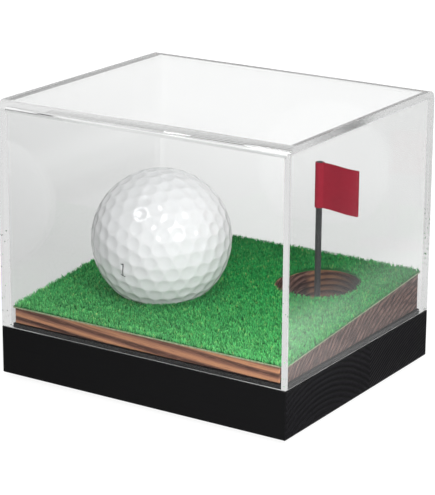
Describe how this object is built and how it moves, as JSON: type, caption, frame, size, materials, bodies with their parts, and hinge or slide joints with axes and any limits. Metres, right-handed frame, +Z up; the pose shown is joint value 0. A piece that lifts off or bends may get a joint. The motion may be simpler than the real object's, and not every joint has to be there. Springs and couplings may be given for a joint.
{
  "type": "golf ball display case",
  "caption": "Display case for a golf ball: a clear lift-off cover on a black wood plinth, over a sloped putting green with a cup, a flag and a seated ball.",
  "frame": {"origin": "on the table, under the middle of the case", "axes": "+X to the right along the front, +Y to the back, +Z up"},
  "size_m": [0.1004, 0.085, 0.0859],
  "materials": {
    "black_wood": "black stain, satin, open straight grain",
    "pad_rubber": "matte",
    "clear_acrylic": "clear, polished on the faces and the edges",
    "brown_wood": "sawn and sanded, oiled, dark streaks",
    "turf": "short dense artificial grass on a thin backing",
    "dark_rod": "satin dark grey",
    "flag_cloth": "fine plain weave, matte",
    "ball_cover": "gloss, dimpled"
  },
  "bodies": {
    "base": {"base_block": "black_wood", "foot_front_left": "pad_rubber", "foot_front_right": "pad_rubber", "foot_back_left": "pad_rubber", "foot_back_right": "pad_rubber", "wood_wedge": "brown_wood", "turf_mat": "turf", "flagstick": "dark_rod", "flag": "flag_cloth"},
    "cover": {"cover_bent_sheet": "clear_acrylic", "cover_left_panel": "clear_acrylic", "cover_right_panel": "clear_acrylic"},
    "ball": {"golf_ball": "ball_cover"}
  },
  "joints": [
    {"name": "cover_lift", "type": "slide", "parent": "base", "child": "cover", "axis": [0, 0, 1], "range_m": [0, 0.08]},
    {"name": "ball_lift", "type": "slide", "parent": "base", "child": "ball", "axis": [0, 0, 1], "range_m": [0, 0.019]}
  ]
}
